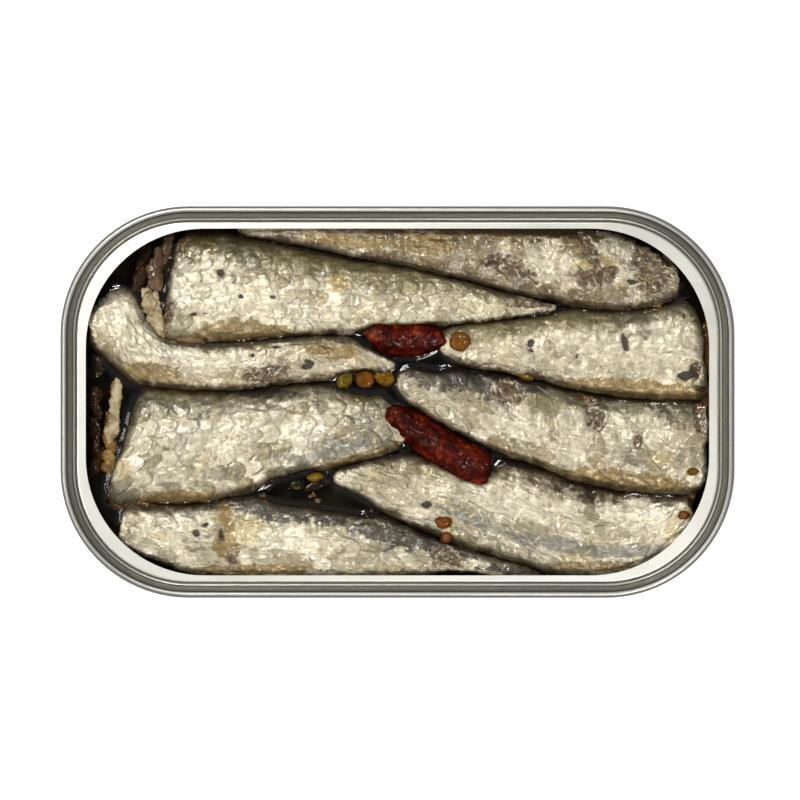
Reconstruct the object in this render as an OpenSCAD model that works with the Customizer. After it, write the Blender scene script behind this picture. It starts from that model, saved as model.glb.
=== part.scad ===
// Open oblong sardine tin: a drawn body, the ring that the peeled lid left in the seam, and the
// headless sardines of the top layer with two pieces of dried chilli pod, lying in oil.
// +X runs along the tin, +Y across it and +Z up. The origin is at the centre of the standing face.

/* [Tin] */
// Length over the seam
tin_len = 105; // [90:1:130]
// Width over the seam
tin_wid = 61; // [54:1:76]
// Height from the standing face to the top of the seam
tin_h = 28; // [23:0.5:40]
// Outer corner radius of the seam
corner_r = 20; // [17:0.5:25]
// Thickness of the metal
sheet = 0.22; // [0.16:0.01:0.28]
// Radius between the wall and the base
base_r = 2.2; // [1.5:0.1:3]
// Width of the flat band that the tin stands on
band = 4; // [2.5:0.5:6]
// Height of the raised panel in the base
panel_lift = 0.6; // [0.3:0.1:1]

/* [Seam] */
// Height of the double seam
seam_h = 2.8; // [2.4:0.1:3.4]
// Gap between the folded layers of metal
seam_gap = 0.02; // [0.01:0.01:0.05]
// Free space at the end of each hook
hook_gap = 0.3; // [0.2:0.05:0.5]

/* [Lid ring] */
// Width of the rim at the tin's ends, from the seam's outer face to the torn edge
rim_end = 3.8; // [3.4:0.1:4.6]
// Width of the rim along the tin's sides
rim_side = 3.4; // [3.2:0.1:4.4]
// Corner radius of the opening
opening_r = 18.5; // [15:0.5:20]
// Depth of the groove below the top of the seam
groove_depth = 3.3; // [2.8:0.1:3.6]
// Radius of the groove's bottom
groove_r = 0.42; // [0.3:0.02:0.5]
// Height of the lid's flat above the groove's bottom
flat_rise = 0.8; // [0.5:0.05:1.2]
// Inward lean of the wall between the seam and the groove
wall_lean = 0.45; // [0.2:0.05:0.6]

/* [Contents] */
// Depth of the highest sardine below the top of the seam
fish_depth = 4.5; // [4.3:0.1:6]
// Depth of the oil's surface below the top of the seam
oil_depth = 6.6; // [5.6:0.1:7.5]
// Thickness of a sardine as a share of its width
plumpness = 0.6; // [0.45:0.01:0.65]
// Least thickness of a sardine, at its tail
tail_thick = 2.8; // [2.4:0.1:3.6]
// How much lower a sardine's back lies than its belly
back_drop = 0.7; // [0:0.1:1.2]
// Squareness of a sardine's section, where 2 is an ellipse
squareness = 3.6; // [2:0.1:4]
// Gap between the contents and the metal
wall_gap = 0.3; // [0.1:0.05:0.6]
// Gap between the oil and the metal
oil_gap = 0.03; // [0.01:0.01:0.05]
// How far a chilli pod stands out of the oil
pod_proud = 2.4; // [1.4:0.1:3]

/* [Hidden] */
$fn = 48;

metal_colour = [0.77, 0.76, 0.73];
skin_colour = [0.78, 0.74, 0.62];
pod_colour = [0.33, 0.07, 0.03];
oil_colour = [0.42, 0.28, 0.08];

// The seam has five layers of metal. layer_r is the distance of a layer's middle from the corner's
// centre: 0 lid's outer wall, 1 body hook, 2 lid hook, 3 body wall, 4 lid's inner wall.
pitch = sheet + seam_gap;
function layer_r(n) = corner_r - sheet / 2 - n * pitch;
seam_top = tin_h - sheet / 2 - 2 * pitch;
curl_z = tin_h - seam_h + pitch + sheet / 2;

// The lid's groove and flat
groove_z = tin_h - groove_depth - sheet / 2;
flat_z = groove_z + flat_rise;
flat_edge_r = layer_r(4) - wall_lean - 2 * groove_r;
edge_bend = 0.3;
flat_reach = 5.5;

// The inside of the body
inner_r = layer_r(3) - sheet / 2;
half_len = tin_len / 2 - corner_r + inner_r;
half_wid = tin_wid / 2 - corner_r + inner_r;
band_r = layer_r(3) - base_r - band;
panel_r = band_r - panel_lift - 1;

// Each sardine is a list of ribs from its cut end to its tail: [place along the tin, back edge,
// belly edge], in percent of half the inside length and width. The sardines on the left have their
// cut ends to the left, and the others to the right.
sardines = [
    [[-70, 91, 36], [-60, 93, 32], [-39, 86, 34], [-14, 76, 38], [10, 69, 41], [31, 57, 45],
        [49, 51.5, 49.5]],
    [[86, 71, 59], [77, 83, 52.5], [66, 92, 49.5], [50, 96, 53], [30, 97, 61], [4, 97, 73], [-15, 96, 80],
        [-33, 95, 87], [-49, 95, 91]],
    [[-94, 46, 32], [-90, 58, 25], [-84, 63, 14], [-79.5, 58, 11], [-75, 38, 10], [-69, 30, 9], [-54, 29, 8],
        [-38, 32, 11], [-20, 34, 15], [-8, 27, 17], [0, 20.5, 19]],
    [[94, 52, 4], [83, 53, 3.5], [70, 49, 4], [55, 49, 7.5], [40, 45, 16], [25, 41.5, 20.5], [12, 38, 26]],
    [[-84, 10, -52], [-70, 10, -54], [-57, 7.5, -53], [-43, 8.5, -44.5], [-29, 10.5, -37], [-15, 6, -33],
        [-3, 2, -26], [4, -4, -22]],
    [[95, -1, -45], [86, 1, -47.5], [70, 2, -45.5], [54, 6, -39.5], [40, 11, -29.5], [25, 15, -22],
        [10, 16, -7], [-1, 14, 8.5]],
    [[-85, -60, -74], [-75, -57, -84], [-61, -55.5, -93], [-46, -50, -97], [-27, -54.5, -97],
        [-7, -61.5, -95.5], [10, -75, -91], [22, -82, -90.5], [34, -88, -95], [45, -93, -98]],
    [[90, -53.5, -68], [80, -50.5, -85], [68, -48, -95], [54, -42, -94.5], [40, -33, -87], [25, -30.5, -77],
        [10, -28, -67], [-4, -29.5, -56], [-14, -35, -47], [-20, -39, -41]],
];
// Slant of each sardine's cut end: how far its back edge is ahead of its middle, as a share of half
// its width. The slant dies out over the share of the body given by slant_reach.
cut_slant = [0.15, 0, 0, -0.12, 0.32, 0, 0, 0];
slant_reach = 0.45;
fish_rings = 14;
fish_sides = 16;

// Each chilli pod is a list of stations: [place along, place across, half its width], in percent of
// half the inside length, half the inside width and half the inside width.
pods = [
    [[-11, 37, 1.5], [-7, 36, 6.5], [0, 33, 9.5], [8, 33.5, 9], [15, 33, 4]],
    [[-4, -5, 3], [0, -8, 7], [7, -16.5, 9.5], [14, -25, 10.5], [22, -33, 11], [28, -37, 8]],
];
// The pods that are pressed into each sardine
pods_on = [[0], [], [], [0], [1], [], [], [1]];
pod_height = 0.85;
pod_rings = 10;
pod_sides = 12;

// ---------- functions ----------

function arc(c, r, from, to, steps) =
    [for (i = [0:steps]) let (a = from + (to - from) * i / steps) c + r * [cos(a), sin(a)]];

function unit(v) = v / norm(v);
function left_of(v) = [-v[1], v[0]];

// The side of a strip of metal at a distance from its middle line, mitred at each bend
function beside(path, d) = [
    for (i = [0:len(path) - 1])
        let (
            before = left_of(unit(path[max(i, 1)] - path[max(i, 1) - 1])),
            after = left_of(unit(path[min(i + 1, len(path) - 1)] - path[min(i + 1, len(path) - 1) - 1])),
            n = unit(before + after)
        ) path[i] + n * d / (n * before)
];
function reversed(list) = [for (i = [len(list) - 1:-1:0]) list[i]];
function strip(path) = concat(beside(path, sheet / 2), reversed(beside(path, -sheet / 2)));

// A smooth curve through the stations of a list, at share s of the way along it
function between(a, b, c, d, t) =
    (2 * b + (c - a) * t + (2 * a - 5 * b + 4 * c - d) * t * t + (3 * b - a - 3 * c + d) * t * t * t) / 2;
function along(list, s) =
    let (n = len(list) - 1, k = min(floor(s * n), n - 1))
    between(list[max(k - 1, 0)], list[k], list[k + 1], list[min(k + 2, n)], s * n - k);

// A point pressed back inside the body's wall
function within_wall(p) =
    let (
        r = inner_r - wall_gap,
        core = [half_len - inner_r, half_wid - inner_r],
        past = [max(abs(p[0]) - core[0], 0), max(abs(p[1]) - core[1], 0)],
        k = norm(past) > r ? r / norm(past) : 1
    ) [
        sign(p[0]) * (min(abs(p[0]), core[0]) + past[0] * k),
        sign(p[1]) * (min(abs(p[1]), core[1]) + past[1] * k),
        p[2]
    ];

function bulge(x) = sign(x) * pow(abs(x), 2 / squareness);

// One rib of a sardine as a ring of points. Its top stays near one level, so that a thinner rib
// lies higher in the oil.
function fish_ring(fish, slant, s) =
    let (
        rib = along(fish, s),
        x = rib[0] * half_len / 100,
        mid = (rib[1] + rib[2]) * half_wid / 200,
        half = (rib[1] - rib[2]) * half_wid / 200,
        lean = slant * half * max(1 - s / slant_reach, 0),
        high = max(half * plumpness, tail_thick / 2),
        drop = back_drop * min(half / 6, 1)
    ) [
        for (j = [0:fish_sides - 1])
            let (across = bulge(cos(360 * j / fish_sides)), up = bulge(sin(360 * j / fish_sides)))
            within_wall([
                x + lean * across,
                mid + half * across,
                tin_h - fish_depth - high - drop + high * up - drop * across
            ])
    ];

// One station of a chilli pod as a ring of points square to its axis
function pod_ring(pod, s) =
    let (
        here = along(pod, s),
        ahead = along(pod, min(s + 0.02, 1)) - along(pod, max(s - 0.02, 0)),
        axis = unit([ahead[0] * half_len, ahead[1] * half_wid]),
        side = left_of(axis),
        half = here[2] * half_wid / 100,
        x = here[0] * half_len / 100,
        y = here[1] * half_wid / 100
    ) [
        for (j = [0:pod_sides - 1])
            let (a = 360 * j / pod_sides)
            [
                x + side[0] * half * cos(a),
                y + side[1] * half * cos(a),
                tin_h - oil_depth + pod_proud - half * pod_height * (1 - sin(a))
            ]
    ];

// ---------- shapes ----------

module rounded(len, wid, r) {
    square([len - 2 * r, wid], center = true);
    square([len, wid - 2 * r], center = true);
    for (x = [-1, 1], y = [-1, 1])
        translate([x * (len / 2 - r), y * (wid / 2 - r)]) circle(r);
}

// A profile of [distance from the corner's centre, height] carried once round the tin
module carried_round(profile) {
    x = tin_len / 2 - corner_r;
    y = tin_wid / 2 - corner_r;
    for (turn = [0, 180]) rotate(turn) {
        translate([-x, y, 0]) rotate([90, 0, 90]) linear_extrude(2 * x) polygon(profile);
        translate([x, y, 0]) rotate_extrude(angle = 90) polygon(profile);
        translate([x, y, 0]) rotate([90, 0, 0]) linear_extrude(2 * y) polygon(profile);
        translate([x, -y, 0]) rotate(-90) rotate_extrude(angle = 90) polygon(profile);
    }
}

// The plate inside what carried_round makes, out to r from the corner's centre
module core(r, low, high) {
    translate([0, 0, low])
        linear_extrude(high - low)
            rounded(tin_len - 2 * (corner_r - r), tin_wid - 2 * (corner_r - r), r);
}

// A closed skin through rings of points, with a flat cap at each end. The rings run
// anticlockwise seen from ahead when flip is false.
module skin(rings, flip) {
    n = len(rings[0]);
    last = len(rings) - 1;
    points = [for (ring = rings) each ring];
    sides = [
        for (i = [0:last - 1], j = [0:n - 1])
            let (a = i * n + j, b = i * n + (j + 1) % n)
            each [[a, b, b + n], [a, b + n, a + n]]
    ];
    caps = [
        for (j = [1:n - 2]) each [[0, j + 1, j], [last * n, last * n + j, last * n + j + 1]]
    ];
    faces = concat(sides, caps);
    polyhedron(points, flip ? [for (f = faces) [f[0], f[2], f[1]]] : faces);
}

// ---------- sub-parts ----------

module tin_body() {
    path = concat(
        [[panel_r, sheet / 2 + panel_lift], [band_r - panel_lift, sheet / 2 + panel_lift], [band_r, sheet / 2]],
        arc([layer_r(3) - base_r, sheet / 2 + base_r], base_r, -90, 0, 6),
        arc([layer_r(2), seam_top], pitch, 180, 0, 8),
        [[layer_r(1), curl_z + hook_gap]]
    );
    color(metal_colour) {
        carried_round(strip(path));
        core(panel_r, panel_lift, panel_lift + sheet);
    }
}

module lid_ring() {
    path = concat(
        [[corner_r - flat_reach, flat_z]],
        arc([flat_edge_r - edge_bend, flat_z - edge_bend], edge_bend, 90, 0, 4),
        arc([flat_edge_r + groove_r, groove_z + groove_r], groove_r, 180, 360, 8),
        arc([layer_r(2), seam_top], 2 * pitch, 180, 0, 10),
        arc([layer_r(1), curl_z], pitch, 0, -180, 8),
        [[layer_r(2), seam_top - hook_gap]]
    );
    color(metal_colour) difference() {
        carried_round(strip(path));
        translate([0, 0, flat_z - sheet])
            linear_extrude(2 * sheet)
                rounded(tin_len - 2 * rim_end, tin_wid - 2 * rim_side, opening_r);
    }
}

module sardine_form(i) {
    fish = sardines[i];
    rings = [for (k = [0:fish_rings]) fish_ring(fish, cut_slant[i], k / fish_rings)];
    skin(rings, fish[0][0] < 0);
}

// A sardine, dented by the pods that are pressed into it
module sardine(i) {
    color(skin_colour) difference() {
        sardine_form(i);
        for (k = pods_on[i]) chilli(k);
    }
}

module chilli(i) {
    rings = [for (k = [0:pod_rings]) pod_ring(pods[i], k / pod_rings)];
    color(pod_colour) skin(rings, true);
}

module oil() {
    low = panel_lift + sheet + oil_gap;
    high = tin_h - oil_depth;
    r = inner_r - oil_gap;
    bend = base_r - sheet / 2;
    profile = concat(
        [[panel_r, low], [band_r, low]],
        arc([inner_r - bend, sheet + bend], bend - oil_gap, -45, 0, 4),
        [[r, high], [panel_r, high]]
    );
    color(oil_colour) difference() {
        union() {
            carried_round(profile);
            core(panel_r, low, high);
        }
        for (i = [0:len(sardines) - 1]) sardine_form(i);
        for (i = [0:len(pods) - 1]) chilli(i);
    }
}

tin_body();
lid_ring();
oil();
for (i = [1:len(sardines)])
    sardine(i - 1);
for (i = [1:len(pods)])
    chilli(i - 1);
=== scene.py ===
import math

import bpy
import numpy as np
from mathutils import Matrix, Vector
from mathutils.bvhtree import BVHTree


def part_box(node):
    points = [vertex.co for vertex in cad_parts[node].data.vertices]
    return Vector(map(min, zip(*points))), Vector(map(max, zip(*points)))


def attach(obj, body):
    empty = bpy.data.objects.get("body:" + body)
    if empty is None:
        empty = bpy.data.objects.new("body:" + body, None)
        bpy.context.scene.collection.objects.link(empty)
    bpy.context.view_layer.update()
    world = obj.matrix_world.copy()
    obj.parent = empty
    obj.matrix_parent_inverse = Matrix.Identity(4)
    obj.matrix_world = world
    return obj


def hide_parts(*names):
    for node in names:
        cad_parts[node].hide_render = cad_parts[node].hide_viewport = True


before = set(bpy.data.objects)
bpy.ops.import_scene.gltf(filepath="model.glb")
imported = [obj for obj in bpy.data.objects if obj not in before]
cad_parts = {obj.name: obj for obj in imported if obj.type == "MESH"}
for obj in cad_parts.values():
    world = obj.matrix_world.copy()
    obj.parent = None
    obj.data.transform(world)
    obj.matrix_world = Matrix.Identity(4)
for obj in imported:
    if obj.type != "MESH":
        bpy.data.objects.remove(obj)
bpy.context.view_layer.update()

scene = bpy.context.scene

# Lengths below are in millimetres. Meshes are written in metres.
MM = 0.001
SARDINES = 8
PODS = 2

# Camera
CAMERA_HEIGHT = 600.0  # above the top of the seam
VIEW_WIDTH = 124.44  # what the picture's width takes in at the top of the seam
AIM = (0.39, 0.31)  # in the plan
SENSOR = 36.0

# How fine the meshes are
FISH_STEP = 0.21
FISH_TOP_POINTS = 108
FISH_UNDER_POINTS = 12
POD_STEP = 0.18
POD_TOP_POINTS = 48
POD_UNDER_POINTS = 24
OIL_STEP = 0.3

# How sardines lie against each other
TOUCH_GAP = 0.12
LEAN_MOST = 1.0
LEAN_REACH = 2.2  # sides lean only over gaps up to this wide
SHOULDER = 1.25  # above 1 makes a sardine's section fuller

# Places taken from the CAD parts
seam_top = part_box("lid_ring")[1][2] / MM
oil_low, oil_high = (np.array(c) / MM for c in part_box("oil"))
oil_level = oil_high[2]
half_inside = (oil_high[:2] - oil_low[:2]) / 2
INNER_CORNER = 19.0  # corner radius of the tin's inside

# Gaps kept to the tin's wall, and how deep the oil is made
SKIN_TO_WALL = 0.12
FLESH_TO_WALL = 0.15
OIL_TO_WALL = 0.05
OIL_DEPTH = 6.0

# Painted shade on the lid ring: how bright its metal is at each height below the seam's top, darker on the
# seam's rounded edges and in the groove, where a dark room would be reflected, and a dimmed seam top:
# [millimetres, brightness]
RING_PAINTED_SHADES = [
    (3.4, 0.5), (2.85, 0.6), (2.65, 1.0), (1.9, 1.0), (1.5, 0.58), (0.6, 0.44), (0.17, 0.22),
    (0.08, 0.58), (0.0, 0.52),
]


# ----- numbers from noise -----

def hashed(cell, seed):
    """A number from -1 to 1 for each whole-numbered cell, the same on every run."""
    c = cell.astype(np.int64).astype(np.uint32)
    h = c[..., 0] * np.uint32(374761393) + c[..., 1] * np.uint32(668265263)
    h = h + c[..., 2] * np.uint32(2246822519) + np.uint32(seed * 7919 + 101)
    h = (h ^ (h >> np.uint32(13))) * np.uint32(1274126177)
    h = (h ^ (h >> np.uint32(15))) * np.uint32(2654435761)
    return (h ^ (h >> np.uint32(16))) / 2147483647.5 - 1


def noise(p, seed=0):
    """Smooth noise of points in cells of size 1, from -1 to 1."""
    cell = np.floor(p)
    f = p - cell
    f = f * f * f * (f * (f * 6 - 15) + 10)
    total = 0
    for corner in np.ndindex(2, 2, 2):
        weight = np.prod(np.where(corner, f, 1 - f), axis=-1)
        total = total + weight * hashed(cell + corner, seed)
    return total


def fractal(p, seed=0, octaves=4, gain=0.5):
    total, size, reach = 0, 1.0, 0.0
    for k in range(octaves):
        total = total + noise(p * 2.03 ** k + 17.3 * k, seed + k) * size
        reach += size
        size *= gain
    return total / reach


def ridges(p, seed=0, octaves=3):
    """Thin raised lines: 1 on a line, and falling to 0 between lines."""
    total, size, reach = 0, 1.0, 0.0
    for k in range(octaves):
        total = total + (1 - np.abs(noise(p * 1.9 ** k + 9.1 * k, seed + k))) ** 4 * size
        reach += size
        size *= 0.6
    return total / reach


def sheet(u, v):
    return np.stack([u, v, 0 * u], -1)


def flakes(u, v, seed=0):
    """Irregular cells of size 1: the distance to a cell's edge, and a number for each cell."""
    cell = np.floor(sheet(u, v))
    first = np.full(u.shape, 9.0)
    second = first.copy()
    owner = np.zeros(u.shape)
    for du in (-1, 0, 1):
        for dv in (-1, 0, 1):
            near = cell + (du, dv, 0)
            pu = near[..., 0] + 0.5 + 0.42 * hashed(near, seed)
            pv = near[..., 1] + 0.5 + 0.42 * hashed(near, seed + 1)
            d = np.hypot(pu - u, pv - v)
            nearer = d < first
            second = np.where(nearer, first, np.minimum(second, d))
            owner = np.where(nearer, hashed(near, seed + 2), owner)
            first = np.where(nearer, d, first)
    return second - first, owner


def smoothstep(low, high, x):
    t = np.clip((x - low) / (high - low), 0, 1)
    return t * t * (3 - 2 * t)


def blurred(grid, sigma, axis):
    """Gaussian blur of a grid along one axis, with its ends held."""
    reach = int(3 * sigma) + 1
    kernel = np.exp(-0.5 * (np.arange(-reach, reach + 1) / sigma) ** 2)
    kernel /= kernel.sum()
    pad = [(0, 0)] * grid.ndim
    pad[axis] = (reach, reach)
    wide = np.pad(grid, pad, mode="edge")
    count = grid.shape[axis]
    return sum(k * np.take(wide, range(i, i + count), axis=axis) for i, k in enumerate(kernel))


# ----- meshes -----

def make_piece(name, points, faces, materials):
    mesh = bpy.data.meshes.new(name)
    mesh.from_pydata((np.asarray(points) * MM).tolist(), [], faces)
    for m in materials:
        mesh.materials.append(m)
    mesh.polygons.foreach_set("use_smooth", [True] * len(mesh.polygons))
    mesh.update()
    piece = bpy.data.objects.new(name, mesh)
    scene.collection.objects.link(piece)
    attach(piece, "root")
    return piece


def search_tree(piece):
    return BVHTree.FromObject(piece, bpy.context.evaluated_depsgraph_get())


def give(piece, channels):
    """Stores a number for each vertex under each name, for the material to read."""
    for name, values in channels.items():
        layer = piece.data.attributes.new(name, "FLOAT", "POINT")
        layer.data.foreach_set("value", np.asarray(values, dtype=np.float32).ravel())


def loft_faces(rings, around):
    """Faces of a closed skin over rings of points, with the two end centres stored last."""
    faces = []
    for i in range(rings - 1):
        a = i * around
        faces += [
            (a + j, a + (j + 1) % around, a + around + (j + 1) % around, a + around + j)
            for j in range(around)
        ]
    first, last = rings * around, rings * around + 1
    end = (rings - 1) * around
    faces += [(first, (j + 1) % around, j) for j in range(around)]
    faces += [(last, end + j, end + (j + 1) % around) for j in range(around)]
    return faces


def make_lofted(name, grid, material):
    """A piece with a closed skin over a grid of rings."""
    points = np.vstack([grid.reshape(-1, 3), [grid[0].mean(0), grid[-1].mean(0)]])
    return make_piece(name, points, loft_faces(*grid.shape[:2]), [material])


def turned(points, angle):
    """Turns points about Z by an angle in radians."""
    c, s = math.cos(angle), math.sin(angle)
    return np.concatenate([points[..., :2] @ np.array([[c, s], [-s, c]]), points[..., 2:]], axis=-1)


def with_ends(grid):
    """A grid's values in the order of loft_faces, with the two end centres' values last."""
    return np.concatenate([grid.ravel(), [grid[0].mean(), grid[-1].mean()]])


def node_mesh(node, turn=0.0):
    """A CAD node's corners in millimetres, turned about Z, and its edges."""
    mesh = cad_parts[node].data
    points = turned(np.array([v.co[:] for v in mesh.vertices]) / MM, turn)
    mesh.calc_loop_triangles()
    tris = np.array([t.vertices[:] for t in mesh.loop_triangles])
    edges = np.sort(np.concatenate([tris[:, [0, 1]], tris[:, [1, 2]], tris[:, [2, 0]]]), axis=1)
    return points, np.unique(edges, axis=0)


def sections(node, step, top, under, turn=0.0):
    """Cuts a CAD node across its length and returns a grid of points: rings along its length, each
    from the lowest Y over the top to the highest Y and back underneath."""
    points, edges = node_mesh(node, turn)
    low, high = points[:, 0].min(), points[:, 0].max()
    places = np.linspace(low + 0.02, high - 0.02, int((high - low) / step) + 1)
    a, b = points[edges[:, 0]], points[edges[:, 1]]
    rings = []
    for x in places:
        cut = (a[:, 0] - x) * (b[:, 0] - x) < 0
        t = ((x - a[cut, 0]) / (b[cut, 0] - a[cut, 0]))[:, None]
        ring = (a[cut] + (b[cut] - a[cut]) * t)[:, 1:]
        middle = (ring.min(0) + ring.max(0)) / 2
        ring = ring[np.argsort(-np.arctan2(ring[:, 1] - middle[1], ring[:, 0] - middle[0]))]
        ring = np.roll(ring, -int(ring[:, 0].argmin()), axis=0)
        far = int(ring[:, 0].argmax())
        halves = [ring[: far + 1], np.vstack([ring[far:], ring[:1]])]
        if ring[1: far, 1].mean() < middle[1]:
            halves = [halves[1][::-1], halves[0][::-1]]
        line = []
        for half, count in zip(halves, (top, under)):
            run = np.concatenate([[0], np.cumsum(np.hypot(*np.diff(half, axis=0).T))])
            at = np.linspace(0, run[-1], count + 1)[:-1]
            line.append(np.stack([np.interp(at, run, half[:, k]) for k in (0, 1)], -1))
        yz = np.vstack(line)
        rings.append(np.column_stack([np.full(len(yz), x), yz]))
    return np.array(rings)


def normals_of(grid):
    along = np.gradient(grid, axis=0)
    around = (np.roll(grid, -1, axis=1) - np.roll(grid, 1, axis=1)) / 2
    n = np.cross(along, around)
    n /= np.linalg.norm(n, axis=-1, keepdims=True) + 1e-9
    outward = grid - grid.mean(axis=1, keepdims=True)
    return n * (1 if (n * outward).sum() > 0 else -1)


def round_ends(grid, *ends):
    """Draws the rings in towards their middle near each end. An end is [each point's distance from it,
    how far it reaches, how much of its thickness is kept]."""
    middle = grid.mean(axis=1, keepdims=True)
    for distance, reach, kept in ends:
        t = np.clip(distance / reach, 0, 1)
        squeeze = kept + (1 - kept) * np.sqrt(1 - (1 - t) ** 2)
        grid[..., 1:] = middle[..., 1:] + (grid[..., 1:] - middle[..., 1:]) * squeeze[..., None]


def kept_inside(points, gap):
    """Presses points back inside the tin's wall."""
    core = half_inside - INNER_CORNER
    flat = points[..., :2]
    past = np.maximum(np.abs(flat) - core, 0)
    reach = np.linalg.norm(past, axis=-1, keepdims=True)
    k = np.minimum(1, (INNER_CORNER - gap) / np.maximum(reach, 1e-9))
    pressed = np.sign(flat) * (np.minimum(np.abs(flat), core) + past * k)
    return np.concatenate([pressed, points[..., 2:]], axis=-1)


# ----- materials -----

def set_stops(ramp, stops):
    while len(ramp.elements) < len(stops):
        ramp.elements.new(0.5)
    for element, (place, colour) in zip(ramp.elements, stops):
        element.position = place
        element.color = rgba(colour)


class Nodes:
    """A short way to write a node material. Values may be numbers, colours or other nodes' outputs."""

    def __init__(self, name):
        self.material = bpy.data.materials.new(name)
        self.material.use_nodes = True
        self.tree = self.material.node_tree
        self.tree.nodes.clear()
        self.out = self.tree.nodes.new("ShaderNodeOutputMaterial")

    def add(self, kind, **values):
        node = self.tree.nodes.new("ShaderNode" + kind)
        for key, value in values.items():
            if not key.startswith("in_"):
                setattr(node, key, value)
        for key, value in values.items():
            if key.startswith("in_"):
                self.plug(node, key[3:], value)
        return node

    def plug(self, node, key, value):
        socket = node.inputs[int(key)] if key.isdigit() else node.inputs[key.replace("_", " ")]
        if isinstance(value, bpy.types.NodeSocket):
            self.tree.links.new(value, socket)
        else:
            socket.default_value = value

    def shade(self, shader):
        self.tree.links.new(shader.outputs[0], self.out.inputs["Surface"])
        return self.material

    def math(self, operation, a, b=0.0):
        return self.add("Math", operation=operation, in_0=a, in_1=b).outputs[0]

    def times(self, a, b):
        return self.math("MULTIPLY", a, b)

    def plus(self, a, b):
        return self.math("ADD", a, b)

    def span(self, x, low, high, to_low=0.0, to_high=1.0):
        node = self.add("MapRange", in_0=x, in_1=low, in_2=high, in_3=to_low, in_4=to_high)
        return node.outputs[0]

    def mix(self, factor, a, b, how="MIX"):
        node = self.add("Mix", data_type="RGBA", blend_type=how)
        self.plug(node, "0", factor)
        for key, value in (("6", a), ("7", b)):
            self.plug(node, key, value if isinstance(value, bpy.types.NodeSocket) else rgba(value))
        return node.outputs[2]

    def ramp(self, factor, stops):
        node = self.add("ValToRGB", in_0=factor)
        set_stops(node.color_ramp, stops)
        return node.outputs[0]

    def channel(self, name):
        return self.add("Attribute", attribute_name=name).outputs["Fac"]

    def place(self, stretch=(1, 1, 1)):
        """Millimetre coordinates on the piece, stretched."""
        where = self.add("TexCoord").outputs["Object"]
        return self.moved(where, in_Scale=tuple(s / MM for s in stretch))

    def moved(self, where, **how):
        return self.add("Mapping", in_Vector=where, **how).outputs[0]

    def noise(self, where, scale, detail=3.0, rough=0.55, warp=0.0):
        node = self.add("TexNoise", in_Vector=where, in_Scale=scale, in_Detail=detail,
                        in_Roughness=rough, in_Distortion=warp)
        return node.outputs[0]

    def split(self, vector):
        return self.add("SeparateXYZ", in_0=vector).outputs

    def bump(self, height, depth_mm, before=None):
        node = self.add("Bump", in_Height=height, in_Distance=depth_mm * MM)
        if before is not None:
            self.plug(node, "Normal", before)
        return node.outputs[0]


def rgba(colour):
    return (*colour[:3], 1.0)


def srgb(red, green, blue):
    """A display colour, 0 to 255, as the linear colour that shaders take."""
    return tuple(
        (c / 12.92 if c <= 0.04045 else ((c + 0.055) / 1.055) ** 2.4)
        for c in (red / 255, green / 255, blue / 255)
    )


def oil_tint_and_painted_shade(n, colour):
    """Darkens what lies below the oil's surface, partly as deep golden oil does and partly as painted shade,
    near-black in the deep gaps between things.
    """
    height = n.split(n.add("TexCoord").outputs["Object"])[2]
    depth = n.span(height, oil_level * MM, (oil_level - 5.0) * MM)
    veil = n.ramp(depth, [(0, (1, 1, 1)), (0.12, (0.74, 0.66, 0.5)), (0.3, (0.36, 0.27, 0.15)),
                          (0.55, (0.09, 0.055, 0.025)), (1, (0.008, 0.004, 0.002))])
    return n.mix(1.0, colour, veil, "MULTIPLY")


def torn(n, name, rag, strength):
    """How much of a mark shows at a point, with a ragged edge."""
    return n.span(n.plus(n.channel(name), rag), 0.44, 0.6, 0.0, strength)


def scale_pattern(n, u, v, wide, tall):
    """Overlapping scales in rows. Returns how far along its scale each point is, a vector that is the
    same all over a scale, and lines where one row of scales meets the next."""
    rows = n.times(v, 1 / tall)
    row = n.math("FLOOR", rows)
    in_row = n.math("SUBTRACT", n.math("SUBTRACT", rows, row), 0.5)
    shift = n.times(n.math("MODULO", row, 2.0), 0.5)
    bow = n.times(n.times(in_row, in_row), SCALE_BOW)
    seat = n.plus(n.plus(n.times(u, 1 / wide), shift), bow)
    number = n.math("FLOOR", seat)
    own = n.add("CombineXYZ", in_0=number, in_1=row, in_2=0.5).outputs[0]
    between_rows = n.span(n.math("ABSOLUTE", in_row), 0.44, 0.5)
    return n.math("SUBTRACT", seat, number), own, between_rows


def body_tones(n, number, across):
    """Back, side and belly."""
    back, back_end, side, belly, belly_start = TONES[number]
    dark_back = tuple(0.62 * c for c in back)
    pale_back = tuple(0.45 * b + 0.55 * s for b, s in zip(back, side))
    warm_side = tuple(0.4 * b + 0.6 * s for b, s in zip(belly, side))
    return n.ramp(across, [
        (0.0, dark_back), (0.5 * back_end, back), (0.86 * back_end, pale_back),
        (1.12 * back_end, side), (belly_start - 0.06, side), (belly_start + 0.02, warm_side),
        (0.5 * belly_start + 0.5, belly), (1.0, tuple(0.8 * c for c in belly)),
    ])


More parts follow.
